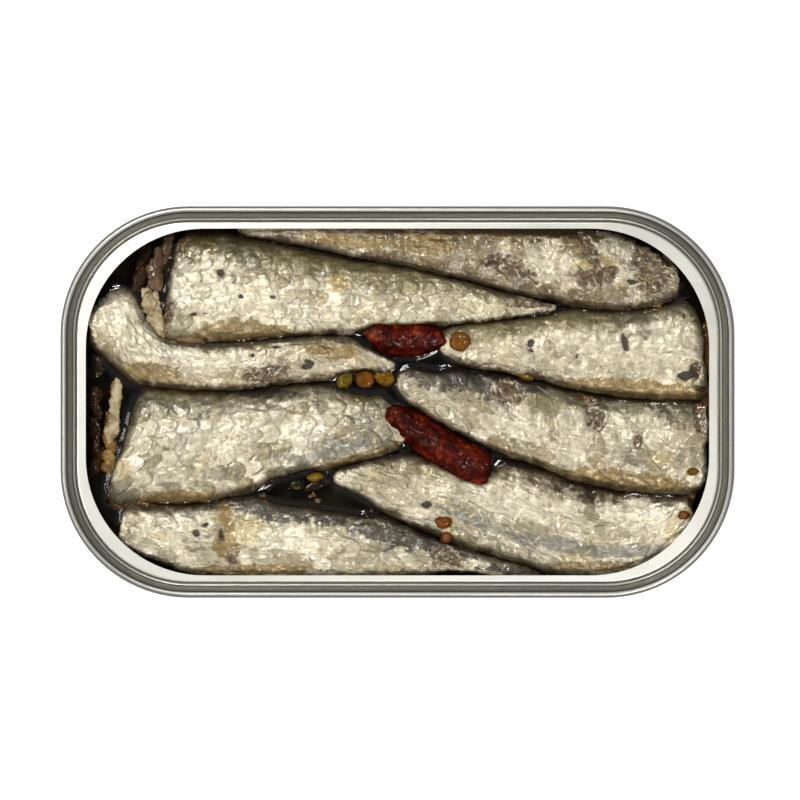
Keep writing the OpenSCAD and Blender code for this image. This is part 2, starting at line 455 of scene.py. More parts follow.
def scale_shades(n, number, colour, across, flow, own, rag):
    """Makes some scales pale, some yellow and some grey. Also returns how well scales show."""
    back_end, belly_start = TONES[number][1], TONES[number][4]
    own_shade = n.add("TexWhiteNoise", noise_dimensions="3D", in_Vector=own).outputs[0]
    here = n.noise(own, 0.23, 2.0, 0.5)
    near = n.noise(n.moved(own, in_Location=(31.0, 7.0, 3.0)), 0.55, 2.0, 0.6)
    uneven = n.plus(near, n.times(rag, 0.1))
    shown = n.times(n.span(n.plus(here, n.times(rag, 0.1)), 0.4, 0.5), SKINS[number][0])
    on_side = n.times(n.span(across, 0.5 * back_end, back_end), n.span(across, 1.0, belly_start))
    yellow = n.span(n.noise(flow, 0.42, 4.0, 0.6, 0.8), 0.5, 0.66, 0.0, 0.42)
    colour = n.mix(n.times(yellow, on_side), colour, srgb(222, 202, 150))
    plate = n.times(n.span(uneven, 0.5, 0.56), on_side)
    colour = n.mix(n.times(plate, 0.5), colour, srgb(242, 235, 216))
    colour = n.mix(n.times(n.span(uneven, 0.44, 0.38), 0.42), colour, srgb(140, 133, 112))
    pale = n.times(n.times(n.span(own_shade, 0.55, 0.85), shown), n.plus(n.times(on_side, 0.5), 0.15))
    colour = n.mix(pale, colour, srgb(240, 232, 212))
    grey = n.times(n.times(n.span(own_shade, 0.36, 0.05), shown), 0.46)
    return n.mix(grey, colour, srgb(130, 128, 116)), shown


def mark_shades(n, colour, rag):
    """Marks that leave the skin whole. The blue marks are painted shade: backs that dip into the gaps,
    painted near-black over their own dark colour.
    """
    soft_rag = n.times(rag, 0.6)
    colour = n.mix(torn(n, "olive", rag, 0.66), colour, srgb(132, 123, 86))
    # Painted shade: where the blue marks lie, the back is painted near-black as it dips into shade
    shaded = n.span(n.plus(n.channel("blue"), n.times(rag, 0.8)), 0.25, 0.8, 0.0, 0.86)
    colour = n.mix(shaded, colour, srgb(38, 38, 36))
    colour = n.mix(torn(n, "grey", soft_rag, 0.72), colour, srgb(134, 136, 130))
    colour = n.mix(torn(n, "white", rag, 0.5), colour, srgb(240, 233, 214))
    colour = n.mix(torn(n, "tan", soft_rag, 0.86), colour, srgb(146, 121, 70))
    return n.mix(torn(n, "gold", rag, 0.45), colour, srgb(196, 172, 108))


def fine_shades(n, colour, flow, streak, wrinkle, speck):
    """Fine light and dark."""
    fine = n.times(n.span(streak, 0.32, 0.68, 0.84, 1.1), n.span(wrinkle, 0.32, 0.68, 0.9, 1.08))
    fine = n.times(fine, n.span(speck, 0.34, 0.68, 0.74, 1.18))
    fine = n.times(fine, n.span(n.noise(flow, 0.16, 3.0, 0.55, 0.6), 0.34, 0.66, 0.78, 1.14))
    grey = n.add("CombineXYZ", in_0=fine, in_1=fine, in_2=fine).outputs[0]
    colour = n.mix(1.0, colour, grey, "MULTIPLY")
    return n.mix(n.span(speck, 0.56, 0.7, 0.0, 0.25), colour, srgb(214, 190, 140))


def torn_skin(n, colour, flow, rag):
    """Bare flesh and dark marks. Also returns how much skin is left."""
    flesh = n.ramp(n.noise(flow, 0.9, 6.0, 0.68, 0.9), [
        (0.32, srgb(34, 22, 10)), (0.46, srgb(76, 55, 30)), (0.56, srgb(116, 94, 60)),
        (0.66, srgb(190, 174, 142)),
    ])
    around_bare = n.span(n.plus(n.channel("bare"), rag), 0.28, 0.46, 0.0, 0.65)
    colour = n.mix(around_bare, colour, srgb(238, 230, 212))
    web = n.span(n.noise(flow, 0.75, 6.0, 0.7, 1.8), 0.38, 0.45, 0.1, 1.0)
    bare = n.times(torn(n, "bare", rag, 0.96), web)
    dark = torn(n, "dark", rag, 0.95)
    colour = n.mix(bare, colour, flesh)
    colour = n.mix(dark, colour, srgb(54, 46, 36))
    return colour, n.math("SUBTRACT", 1.0, n.math("MAXIMUM", bare, dark))


def skin_material(number):
    n = Nodes(f"sardine_skin_{number}")
    _, wrinkles, lines, wide, tall = SKINS[number]
    flow = n.add("Attribute", attribute_name="flow").outputs["Vector"]
    u, v, _ = n.split(flow)
    along = n.moved(flow, in_Rotation=(0, 0, 0.1), in_Scale=(0.3, 1.9, 1.0))
    crossing = n.moved(flow, in_Rotation=(0, 0, 0.35), in_Scale=(1.5, 0.7, 1.0))
    blot = n.noise(flow, 0.3, 5.0, 0.6, 0.5)
    rough_edge = n.noise(flow, 1.5, 5.0, 0.72, 0.8)
    streak = n.noise(along, 1.0, 6.0, 0.65, 1.2)
    wrinkle = n.noise(crossing, 1.0, 5.0, 0.62, 2.4)
    speck = n.noise(flow, 3.4, 4.0, 0.7, 0.3)
    rag = n.span(rough_edge, 0.28, 0.72, -0.42, 0.42)
    step, own, between_rows = scale_pattern(n, u, v, wide, tall)

    wander = n.plus(n.span(blot, 0.3, 0.7, -0.13, 0.13), n.times(rag, 0.16))
    across = n.plus(n.channel("across"), wander)
    colour = body_tones(n, number, across)
    colour, shown = scale_shades(n, number, colour, across, flow, own, rag)
    colour = mark_shades(n, colour, rag)
    colour = fine_shades(n, colour, flow, streak, wrinkle, speck)

    lip = n.times(n.span(step, 0.1, 0.02), shown)
    # Painted shade: darker lines at scale edges, between rows, in wrinkles, along fine lines and in cracks,
    # where shade falls in them
    painted_crease_shade = n.math("MAXIMUM", n.times(lip, 0.76), n.times(n.times(between_rows, shown), 0.26))
    painted_crease_shade = n.math("MAXIMUM", painted_crease_shade, n.times(n.span(wrinkle, 0.43, 0.38), 0.55 * wrinkles))
    painted_crease_shade = n.math("MAXIMUM", painted_crease_shade, n.times(n.span(streak, 0.43, 0.38), 0.6 * lines))
    painted_crease_shade = n.math("MAXIMUM", painted_crease_shade, n.times(n.channel("painted_crease_shade"), 0.6))
    colour = n.mix(painted_crease_shade, colour, srgb(74, 66, 46))

    colour, skinned = torn_skin(n, colour, flow, rag)
    colour = n.mix(1.0, colour, (0.87, 0.845, 0.77), "MULTIPLY")
    # Painted shade: the skin darkens to brown along each sardine's sides, where they turn down into the gaps
    rim = n.times(n.span(rough_edge, 0.3, 0.6, 0.45, 0.9), n.span(blot, 0.42, 0.58, 0.25, 1.0))
    colour = n.mix(n.times(n.channel("rim"), rim), colour, srgb(50, 36, 18))
    colour = oil_tint_and_painted_shade(n, colour)

    lips = n.bump(n.times(n.math("POWER", step, 3.0), shown), 0.11)
    wet = n.bump(n.noise(flow, 1.1, 4.0, 0.5, 1.0), 0.09, lips)
    relief = n.bump(wrinkle, 0.08 * wrinkles + 0.01, lips)
    relief = n.bump(streak, 0.07 * lines, relief)
    relief = n.bump(speck, 0.02, relief)
    shader = wet_shader(n, colour, n.span(blot, 0.3, 0.7, 0.23, 0.38), relief, 0.3, 0.0, 0.06)
    n.plug(shader, "Metallic", n.times(skinned, 0.5))
    n.plug(shader, "Coat Weight", n.plus(n.times(skinned, 0.48), 0.12))
    n.plug(shader, "Coat Normal", wet)
    shader.inputs["IOR"].default_value = 1.4
    return n.shade(shader)


def wet_shader(n, colour, rough, relief, specular, coat, coat_rough):
    """A surface that oil has wetted."""
    shader = n.add("BsdfPrincipled", in_Base_Color=colour, in_Roughness=rough, in_Normal=relief)
    shader.inputs["Specular IOR Level"].default_value = specular
    shader.inputs["Coat Weight"].default_value = coat
    shader.inputs["Coat Roughness"].default_value = coat_rough
    return shader


def pod_material():
    n = Nodes("dried_chilli")
    blot = n.noise(n.place(), 0.45, 6.0, 0.65, 0.6)
    fold = n.noise(n.place(), 1.6, 5.0, 0.62, 0.9)
    colour = n.ramp(blot, [(0.3, srgb(22, 2, 0)), (0.44, srgb(52, 6, 1)), (0.56, srgb(80, 15, 3)),
                           (0.68, srgb(136, 52, 12))])
    colour = n.mix(n.span(fold, 0.46, 0.34, 0.0, 0.6), colour, srgb(20, 3, 1))
    # Painted sheen: pale patches only where the pod faces up
    colour = n.mix(n.times(n.channel("pale"), n.span(fold, 0.45, 0.6)), colour, srgb(128, 84, 60))
    colour = oil_tint_and_painted_shade(n, colour)
    relief = n.bump(n.noise(n.place(), 0.5, 3.0, 0.5, 0.6), 0.2)
    relief = n.bump(fold, 0.03, relief)
    shader = wet_shader(n, colour, n.span(blot, 0.3, 0.7, 0.18, 0.34), relief, 0.0, 0.26, 0.04)
    n.plug(shader, "Coat Normal", relief)
    return n.shade(shader)


def seed_material():
    n = Nodes("chilli_seed")
    colour = n.ramp(n.channel("ripe"), [(0.0, srgb(108, 92, 12)), (0.5, srgb(124, 94, 8)),
                                        (1.0, srgb(118, 60, 6))])
    blot = n.noise(n.place(), 0.9, 4.0, 0.6)
    colour = n.mix(n.span(blot, 0.44, 0.64, 0.0, 0.7), colour, srgb(64, 36, 6))
    colour = oil_tint_and_painted_shade(n, colour)
    relief = n.bump(n.noise(n.place(), 2.6, 3.0), 0.07)
    return n.shade(wet_shader(n, colour, 0.3, relief, 0.0, 0.4, 0.05))


def flesh_material():
    n = Nodes("sardine_flesh")
    blot = n.noise(n.place(), 0.6, 5.0, 0.62, 0.5)
    colour = n.ramp(n.plus(n.times(blot, 0.7), n.times(n.channel("fat"), 0.5)), [
        (0.25, srgb(38, 20, 7)), (0.42, srgb(78, 50, 22)), (0.6, srgb(126, 100, 58)),
        (0.8, srgb(200, 184, 146)),
    ])
    colour = oil_tint_and_painted_shade(n, colour)
    relief = n.bump(n.noise(n.place(), 2.0, 4.0), 0.15)
    return n.shade(wet_shader(n, colour, 0.4, relief, 0.2, 0.3, 0.06))


def oil_surface_material():
    n = Nodes("oil_surface")
    relief = n.bump(n.noise(n.place(), 0.5, 2.0), 0.015)
    clear = n.add("BsdfTransparent", in_Color=rgba((0.9, 0.8, 0.6)))
    gloss = n.add("BsdfGlossy", in_Color=rgba((1, 1, 1)), in_Roughness=0.03, in_Normal=relief)
    mirror = n.add("Fresnel", in_IOR=1.33, in_Normal=relief)
    return n.shade(n.add("MixShader", in_0=mirror.outputs[0], in_1=clear.outputs[0],
                         in_2=gloss.outputs[0]))


def oil_depth_material():
    n = Nodes("oil_depth")
    # A dark sheet under the oil's surface: the deep oil's own tint and painted shade down in the gaps
    colour = n.ramp(n.noise(n.place(), 0.25, 4.0), [(0.3, srgb(3, 1, 0)), (0.55, srgb(12, 6, 2)),
                                                    (0.75, srgb(28, 15, 6))])
    shader = n.add("BsdfPrincipled", in_Base_Color=colour, in_Roughness=0.8)
    return n.shade(shader)


def tin_material(name, colour, rough, shades=None):
    """Bright tinplate with fine rolling lines. Shades are painted shade by height: [height in millimetres,
    how bright].
    """
    n = Nodes(name)
    blot = n.noise(n.place(), 0.12, 4.0)
    grain = n.noise(n.place((1.6, 0.5, 0.5)), 1.5, 6.0, 0.8)
    speck = n.noise(n.place(), 1.8, 4.0, 0.7)
    base = n.mix(n.span(blot, 0.35, 0.65), colour, tuple(0.96 * c for c in colour))
    base = n.mix(n.span(grain, 0.42, 0.62), base, tuple(0.92 * c for c in colour))
    base = n.mix(n.span(speck, 0.62, 0.76, 0.0, 0.12), base, tuple(0.6 * c for c in colour))
    # Painted shade: darkens the metal by its height below the seam's top
    if shades:
        height = n.split(n.add("TexCoord").outputs["Object"])[2]
        low, high = shades[0][0], shades[-1][0]
        stops = [((z - low) / (high - low), (k, k, k * 0.98)) for z, k in shades]
        shade = n.ramp(n.span(height, low * MM, high * MM), stops)
        base = n.mix(1.0, base, shade, "MULTIPLY")
    worn = n.plus(n.span(blot, 0.3, 0.7, -0.03, 0.03), n.span(grain, 0.3, 0.7, rough - 0.04, rough + 0.04))
    shader = n.add("BsdfPrincipled", in_Base_Color=base, in_Metallic=1.0, in_Roughness=worn,
                   in_Normal=n.bump(grain, 0.012))
    return n.shade(shader)


# ----- sardines -----

# Marks on each sardine's skin, by kind: (place along from the cut end, place across from the back,
# length, width, turn), with the places in percent, the sizes in millimetres and the turn in degrees.
MARKS = {
    1: {
        "olive": [(33, 8, 15.5, 4, -12), (55, 21, 20.5, 4, -7)],
        "white": [(11, 51, 11, 9.5, 0), (24, 74, 15.5, 5.5, -5), (38, 77, 9.5, 3, -8)],
        "tan": [(20, 93, 12.5, 4, 0)],
        "gold": [(44, 37, 4, 3, 0)],
        "bare": [(1, 44, 2.5, 5.5, 0), (5, 9, 1.5, 5.5, 0), (94, 15, 11, 1.5, 0)],
        "dark": [(15, 39, 1.5, 1.5, 0), (20, 60, 1, 1, 0), (28, 59, 1.5, 1, -20), (8, 77, 1.5, 1, 0),
            (11, 76, 1, 0.5, 0)],
    },
    2: {
        "white": [(30, 48, 9, 6.5, -10), (14, 22, 6.5, 4, -20), (11, 93, 2, 1.5, 0)],
        "tan": [(58, 53, 10, 3, -5), (74, 66, 15.5, 2, -5)],
        "gold": [(19, 50, 6, 3, 0)],
        "bare": [(38, 68, 9.5, 4, -15), (20, 31, 2, 7, 25), (18, 61, 8.5, 3.5, 0), (6, 36, 7, 9, 0)],
        "dark": [(42, 64, 2, 1, 0), (10, 65, 3, 1.4, 0), (3, 10, 2, 3.5, 0)],
    },
    3: {
        "olive": [(14, 8, 4, 3, -30)],
        "white": [(9, 32, 6.5, 7, 0), (17, 46, 11, 5.5, -20), (38, 36, 14, 4, 0)],
        "tan": [(20, 79, 9, 2.5, -6), (80, 36, 9.5, 2.5, -5)],
        "bare": [(58, 82, 8, 3.4, 6)],
        "dark": [(53, 27, 1, 1, 0), (72, 65, 3, 2, 30), (61, 12, 2, 0.5, 0)],
    },
    4: {
        "olive": [(81, 20, 14, 3, 8), (53, 12, 14, 3, 4)],
        "white": [(41, 43, 14, 4.5, -4), (16, 40, 9.5, 6.5, 0)],
        "tan": [(26, 94, 23.5, 3, -4)],
        "bare": [(5, 75, 2, 4, 0)],
        "dark": [(66, 52, 2, 2.5, 0), (31, 40, 1.5, 4.5, 10), (49, 60, 0.5, 1, 0), (8, 79, 4, 2, 10),
            (3, 94, 1.5, 1.5, 0)],
    },
    5: {
        "olive": [(43, 7, 26.5, 2.5, 0), (81, 12, 9.5, 2, -5)],
        "blue": [(52, 8, 11, 1.5, 0)],
        "grey": [(76, 80, 12, 2, 16)],
        "white": [(32, 47, 15, 7, 0), (66, 53, 7, 6, 0)],
        "tan": [(24, 97, 12.5, 2.5, 0), (85, 94, 14, 1, 18)],
        "gold": [(6, 53, 2, 3, 0)],
    },
    6: {
        "olive": [(52, 21, 6.5, 5.5, 0)],
        "blue": [(82, 8, 16, 5, -10), (60, 4, 12, 3, -8)],
        "white": [(43, 58, 7, 9.5, 0), (17, 27, 4.5, 5.5, 0), (28, 48, 5.5, 7, 0), (58, 64, 9.5, 5.5, -20)],
        "tan": [(25, 92, 20.5, 3, -6)],
        "gold": [(14, 66, 4.5, 3, 0)],
        "bare": [(64, 20, 5.5, 4, -10), (42, 3, 4, 1.5, -30), (36, 24, 3, 5.5, 25), (2, 15, 2, 7, 0),
            (22, 46, 1.5, 3, 0)],
        "dark": [(6, 80, 1, 1, 0)],
    },
    7: {
        "blue": [(45, 1, 31, 6.5, -3), (70, 6, 20, 4, -10), (94, 19, 12.5, 1.5, -8)],
        "white": [(13, 36, 12.5, 6.5, 0), (40, 46, 17.5, 4, -2)],
        "tan": [(25, 22, 2.2, 5, 15), (25, 56, 4, 5, 10), (29, 88, 6, 3, -30), (31, 83, 20.5, 1.5, 0)],
        "gold": [(30, 36, 5, 4.5, 30), (9, 49, 2, 1.5, 0)],
        "bare": [(26, 70, 2.5, 2, 0), (78, 26, 6.5, 3, -20)],
        "dark": [(24, 44, 0.8, 4, 10), (18, 38, 1.4, 1.4, 0), (20, 28, 1.4, 1, 40)],
    },
    8: {
        "olive": [(70, 19, 17.5, 2, -4), (28, 69, 7, 2, 0)],
        "blue": [(47, 0, 8, 1.5, -6), (29, 1, 9.5, 1, -8)],
        "grey": [(57, 74, 17, 2, -22), (37, 68, 18, 2, -10), (17, 68, 15, 2, 0)],
        "white": [(33, 35, 3.5, 8, 10), (53, 42, 20.5, 4.5, -12), (16, 26, 11, 5.5, 0)],
        "tan": [(26, 83, 15.5, 1.5, 0)],
        "gold": [(5, 65, 2.5, 4, 0)],
        "dark": [(28, 8, 1.5, 4.5, 15), (74, 70, 2, 1.5, 0)],
    },
}
# The blue marks are painted shade on backs that dip into the gaps
KINDS = ("olive", "blue", "grey", "white", "tan", "gold", "bare", "dark")
MARK_SCALE = {"dark": 0.72, "bare": 0.84}  # noise spreads these, so they start smaller

# How strongly each sardine shows scales, wrinkles across it and lines along it, and how long and how
# wide one scale is
SKINS = {
    1: (0.7, 0.7, 0.3, 2.6, 2.3), 2: (0.3, 0.8, 0.5, 2.6, 2.0), 3: (0.4, 0.7, 0.4, 2.5, 2.2),
    4: (0.4, 0.5, 0.5, 2.6, 2.2), 5: (0.9, 0.7, 0.2, 2.9, 2.5), 6: (0.8, 0.5, 0.4, 3.4, 2.9),
    7: (0.5, 0.4, 1.0, 3.0, 2.6), 8: (0.35, 0.4, 1.1, 2.8, 2.4),
}
SCALE_BOW = 1.4  # how far a scale's free edge curves
V_START = 12.0  # keeps v above 0, where numpy and the nodes count rows of scales alike

# The back's colour and how far it reaches down the side, the side's colour, and the belly's colour
# and where it begins. Places are shares of the sardine's width from the back.
TONES = {
    1: (srgb(112, 102, 64), 0.44, srgb(200, 190, 163), srgb(150, 126, 74), 0.9),
    2: (srgb(116, 98, 62), 0.54, srgb(158, 145, 120), srgb(104, 84, 54), 0.72),
    3: (srgb(134, 121, 92), 0.24, srgb(190, 178, 150), srgb(130, 110, 70), 0.82),
    4: (srgb(132, 123, 90), 0.34, srgb(204, 194, 167), srgb(134, 117, 80), 0.86),
    5: (srgb(122, 115, 95), 0.26, srgb(156, 147, 122), srgb(150, 132, 92), 0.9),
    6: (srgb(104, 98, 74), 0.24, srgb(164, 152, 126), srgb(154, 135, 94), 0.84),
    7: (srgb(142, 132, 104), 0.18, srgb(176, 167, 141), srgb(100, 88, 62), 0.86),
    8: (srgb(100, 83, 58), 0.22, srgb(186, 176, 150), srgb(128, 119, 92), 0.84),
}


def marked(kind, marks, x, y, ends, low_y, high_y):
    """How much of one kind of mark each point has, from 0 to 1, with ragged edges."""
    cut_x, tail_x = ends
    soft = 0.35 if kind == "tan" else 0.55
    total = np.zeros(x.shape)
    ragged = fractal(sheet(x / 1.5, y / 1.1), 40, 5, 0.65) * 1.5
    ragged += fractal(sheet(x / 0.7, y / 0.6), 47, 3, 0.6) * 0.9
    for along, across, length, width, turn in marks:
        length, width = (k * MARK_SCALE.get(kind, 1.0) for k in (length, width))
        mx = cut_x + (tail_x - cut_x) * along / 100
        at = np.argmin(np.abs(x[:, 0] - mx))
        my = high_y[at] + (low_y[at] - high_y[at]) * across / 100
        c, s = math.cos(math.radians(turn)), math.sin(math.radians(turn))
        a = ((x - mx) * c + (y - my) * s) / (length / 2)
        b = (-(x - mx) * s + (y - my) * c) / (width / 2)
        total = np.maximum(total, smoothstep(1.3, 0.7, np.hypot(a, b) + ragged * soft))
    return total


def beside(number, x, y):
    """The distance from each place at the oil's level to the nearest other solid in the oil."""
    others = [tree for name, tree in solids.items() if name != f"sardine_{number}"]
    found = []
    for px, py in zip(x, y):
        p = Vector((px, py, oil_level)) * MM
        found.append(min(tree.find_nearest(p)[3] for tree in others) / MM)
    return np.array(found)


def smooth_sections(node):
    """A sardine's sections without the facets of its CAD solid."""
    grid = sections(node, FISH_STEP, FISH_TOP_POINTS, FISH_UNDER_POINTS)
    grid = blurred(grid, 0.9 / FISH_STEP, 0)
    wrap = 12
    around = np.concatenate([grid[:, -wrap:], grid, grid[:, :wrap]], axis=1)
    return blurred(around, 2.2, 1)[:, wrap:-wrap]


def raise_shoulders(grid):
    """Makes the tops fuller, so that the sides drop steeply into the oil."""
    rings = np.arange(len(grid))
    top_z = grid[..., 2].max(1)[:, None]
    side_z = (grid[rings, grid[..., 1].argmin(1), 2] + grid[rings, grid[..., 1].argmax(1), 2])[:, None] / 2
    room = np.maximum(top_z - side_z, 1e-3)
    fallen = np.clip((top_z - grid[..., 2]) / room, 0, 1)
    grid[..., 2] += room * (fallen - fallen ** SHOULDER)


def lean_out(number, grid, across, low_y, high_y):
    """Leans soft sides out until they nearly touch what lies beside them."""
    lean = []
    for y, sign in ((high_y, 1), (low_y, -1)):
        gap = beside(number, grid[:, 0, 0], y)
        out = np.clip(0.5 * (gap - TOUCH_GAP), 0.0, LEAN_MOST) * smoothstep(LEAN_REACH + 1.0, LEAN_REACH, gap)
        lean.append(sign * blurred(out, 0.8 / FISH_STEP, 0)[:, None])
    grid[..., 1] += lean[0] * smoothstep(0.4, 0.0, across) + lean[1] * smoothstep(0.6, 1.0, across)


def skin_relief(number, where, warp_u, warp_v):
    """How far the skin stands out at each point, and how cracked and how rumpled it is there."""
    seed = 100 * number
    scales, wrinkles, lines, wide, tall = SKINS[number]

    # Overlapping scales in rows, each row shifted by half a scale
    row = np.floor(warp_v / tall)
    in_row = warp_v / tall - row - 0.5
    seat = warp_u / wide + 0.5 * (row % 2) + SCALE_BOW * in_row ** 2
    step = seat - np.floor(seat)
    scaled = scales * smoothstep(-0.35, 0.25, fractal(where / 6.0, seed + 9, 3))

    # Flakes of skin, wrinkles across the body and fine lines along it
    edge, plate = flakes(warp_u / 3.4, warp_v / 3.0, seed + 20)
    crack = smoothstep(0.09, 0.0, edge)
    across_fold = ridges(sheet(warp_u / 1.3, warp_v / 3.0), seed + 30, 2)
    along_line = ridges(sheet(warp_u / 6.0, warp_v / 0.9), seed + 34, 2)
    rumple = ridges(where / (1.7, 1.7, 3.0), seed + 38, 3)

    height = 0.22 * fractal(where / (9.0, 5.0, 9.0), seed + 50, 3)
    height += 0.14 * fractal(where / (2.2, 1.5, 3.0), seed + 53, 2)
    height += scaled * (0.13 * step - 0.04)
    height += 0.06 * plate * smoothstep(0.0, 0.1, edge) - 0.05 * crack
    height += wrinkles * 0.1 * across_fold + lines * 0.1 * along_line + 0.09 * rumple
    return height, crack, rumple


def make_sardine(number):
    node = f"sardine_{number}"
    grid = smooth_sections(node)
    cut_x, tail_x = sorted(grid[[0, -1], 0, 0], key=abs, reverse=True)
    from_cut = np.abs(grid[..., 0] - cut_x)
    from_tail = np.abs(grid[..., 0] - tail_x)
    low_y, high_y = grid[..., 1].min(1), grid[..., 1].max(1)
    across = (high_y[:, None] - grid[..., 1]) / (high_y - low_y)[:, None]
    raise_shoulders(grid)
    lean_out(number, grid, across, low_y, high_y)
    round_ends(grid, (from_cut, 1.0, 0.8), (from_tail, 2.2, 0.35))
    out = normals_of(grid)

    # u runs along the body from the cut end, and v across it from its bent middle line
    u = from_cut
    line = np.polyfit(grid[:, 0, 0], (high_y + low_y) / 2, 4, w=(high_y - low_y) ** 2)
    v = np.polyval(line, grid[..., 0]) - grid[..., 1] + V_START
    seed = 100 * number
    where = np.stack([u, v, grid[..., 2]], -1)
    warp_u = u + 0.8 * fractal(where / 3.0, seed + 1, 3)
    warp_v = v + 0.6 * fractal(where / 2.6, seed + 5, 3) + 2.0
    height, crack, rumple = skin_relief(number, where, warp_u, warp_v)

    amounts = {
        kind: marked(kind, MARKS[number].get(kind, []), grid[..., 0], grid[..., 1], (cut_x, tail_x),
                     low_y, high_y)
        for kind in KINDS
    }
    open_flesh = np.maximum(amounts["bare"], 0.7 * amounts["dark"])
    height = height * (1 - 0.6 * open_flesh) - 0.3 * open_flesh
    height += 0.14 * open_flesh * fractal(where, seed + 60, 4)
    fade = smoothstep(0, 1.0, np.minimum(from_cut, from_tail))
    grid = grid + out * (height * (0.4 + 0.6 * fade))[..., None]
    ragged = smoothstep(2.0, 0.0, from_cut) * 0.8 * fractal(where / 1.8, seed + 64, 3)
    grid[..., 0] += ragged * np.sign(tail_x - cut_x)
    grid = kept_inside(grid, SKIN_TO_WALL)

    # Painted shade in the cracks between flakes and in the hollows between rumples
    patchy = smoothstep(-0.1, 0.5, fractal(where / 2.2, seed + 70, 3))
    painted_crease_shade = np.clip(0.6 * crack * patchy + 0.2 * smoothstep(0.5, 0.2, rumple), 0, 1)
    # rim is painted shade along each sardine's sides, fading out at the tail tip
    from_side = np.minimum(high_y[:, None] - grid[..., 1], grid[..., 1] - low_y[:, None])
    rim = smoothstep(0.55, 0.0, from_side) * smoothstep(0.5, 1.5, from_tail)
    piece = make_lofted(f"{node}_skin", grid, skin_material(number))
    shares = {"across": across, "painted_crease_shade": painted_crease_shade, "rim": rim, **amounts}
    give(piece, {name: with_ends(values) for name, values in shares.items()})
    flow = np.stack([with_ends(k) for k in (warp_u, warp_v, 0 * u + 30.0 * number)], -1)
    layer = piece.data.attributes.new("flow", "FLOAT_VECTOR", "POINT")
    layer.data.foreach_set("vector", flow.astype(np.float32).ravel())
    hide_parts(node)
    return piece


# ----- chilli pods -----

# How much of its thickness each pod keeps at its left and its right end: a torn end stays thick
POD_ENDS = {1: (0.2, 0.4), 2: (0.4, 0.95)}
POD_ROUND = 1.2  # how far from an end its rounding reaches


def make_pod(number, material):
    node = f"chilli_{number}"
    points = node_mesh(node)[0]
    flat = points[:, :2] - points[:, :2].mean(0)
    axis = np.linalg.svd(flat, full_matrices=False)[2][0]
    axis = axis * np.sign(axis[0])
    turn = math.atan2(axis[1], axis[0])
    grid = sections(node, POD_STEP, POD_TOP_POINTS, POD_UNDER_POINTS, -turn)
    grid = blurred(grid, 3.0, 0)
    from_start = grid[..., 0] - grid[0, 0, 0]
    from_end = grid[-1, 0, 0] - grid[..., 0]
    left_kept, right_kept = POD_ENDS[number]
    round_ends(grid, (from_start, POD_ROUND, left_kept), (from_end, POD_ROUND, right_kept))
    out = normals_of(grid)
    seed = 900 + 10 * number
    height = 0.35 * fractal(grid / 2.6, seed, 3) + 0.22 * ridges(grid / (1.8, 1.1, 1.1), seed + 4, 3)
    height += 0.08 * fractal(grid / 0.6, seed + 8, 2) - 0.15
    torn_end = right_kept * smoothstep(1.5, 0.0, from_end) * fractal(grid, seed + 16, 3)
    grid = grid + out * height[..., None]
    grid[..., 0] += torn_end
    # pale is painted sheen: patches only on the faces that look up, towards the lamps
    pale = 0.22 * smoothstep(0.3, 0.6, fractal(grid / 1.1, seed + 12, 3)) * smoothstep(0.2, 0.5, out[..., 2])
    piece = make_lofted(f"{node}_pod", turned(grid, turn), material)
    give(piece, {"pale": np.concatenate([pale.ravel(), [0, 0]])})
    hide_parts(node)
    return piece


# ----- oil -----

OIL_CLIMB = 0.28  # how high the oil climbs at what it meets
CLIMB_REACH = 0.5


def make_oil(trees):
    """The oil's surface, which climbs a little where it meets something, over a dark sheet that is the deep
    oil's tint and painted shade.
    """
    half = half_inside - OIL_TO_WALL
    nx, ny = (int(2 * h / OIL_STEP) + 1 for h in half)
    xs, ys = np.linspace(-half[0], half[0], nx), np.linspace(-half[1], half[1], ny)
    x, y = np.meshgrid(xs, ys, indexing="ij")
    flat = np.stack([x, y, np.full(x.shape, oil_level)], -1)
    flat = kept_inside(flat, OIL_TO_WALL)
    near = np.full(x.shape, 9.0)
    for i in range(nx):
        for j in range(ny):
            p = Vector(flat[i, j] * MM)
            for tree in trees:
                hit = tree.find_nearest(p, 2.5 * MM)
                if hit[0] is not None:
                    near[i, j] = min(near[i, j], hit[3] / MM)
    wobble = 1 + 0.5 * fractal(flat / 2.0, 70, 3)
    climb = OIL_CLIMB * np.exp(-near / CLIMB_REACH * wobble)
    ripple = 0.05 * fractal(flat / 4.0, 75, 2)
    flat[..., 2] += climb + ripple
    rim = np.concatenate([
        np.arange(nx) * ny, (nx - 1) * ny + np.arange(1, ny),
        np.arange(nx - 2, -1, -1) * ny + ny - 1, np.arange(ny - 2, 0, -1),
    ])
    points = flat.reshape(-1, 3)
    bottom = points[rim].copy()
    bottom[:, 2] = oil_level - OIL_DEPTH
    start, count = len(points), len(rim)
    centre = start + count
    points = np.vstack([points, bottom, [[0, 0, oil_level - OIL_DEPTH]]])
    top = [(i * ny + j, (i + 1) * ny + j, (i + 1) * ny + j + 1, i * ny + j + 1)
           for i in range(nx - 1) for j in range(ny - 1)]
    side = [(int(rim[k]), start + k, start + (k + 1) % count, int(rim[(k + 1) % count]))
            for k in range(count)]
    floor = [(centre, start + (k + 1) % count, start + k) for k in range(count)]
    piece = make_piece("oil_pool", points, top + side + floor,
                       [oil_surface_material(), oil_depth_material()])
    slots = [0] * len(top) + [1] * (len(side) + len(floor))
    piece.data.polygons.foreach_set("material_index", slots)
    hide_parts("oil")


# ----- loose things -----
# Their places are in percent of half the tin's inside, and their sizes in millimetres.

LUMP_GRAIN = 0.9  # size of the unevenness on small things


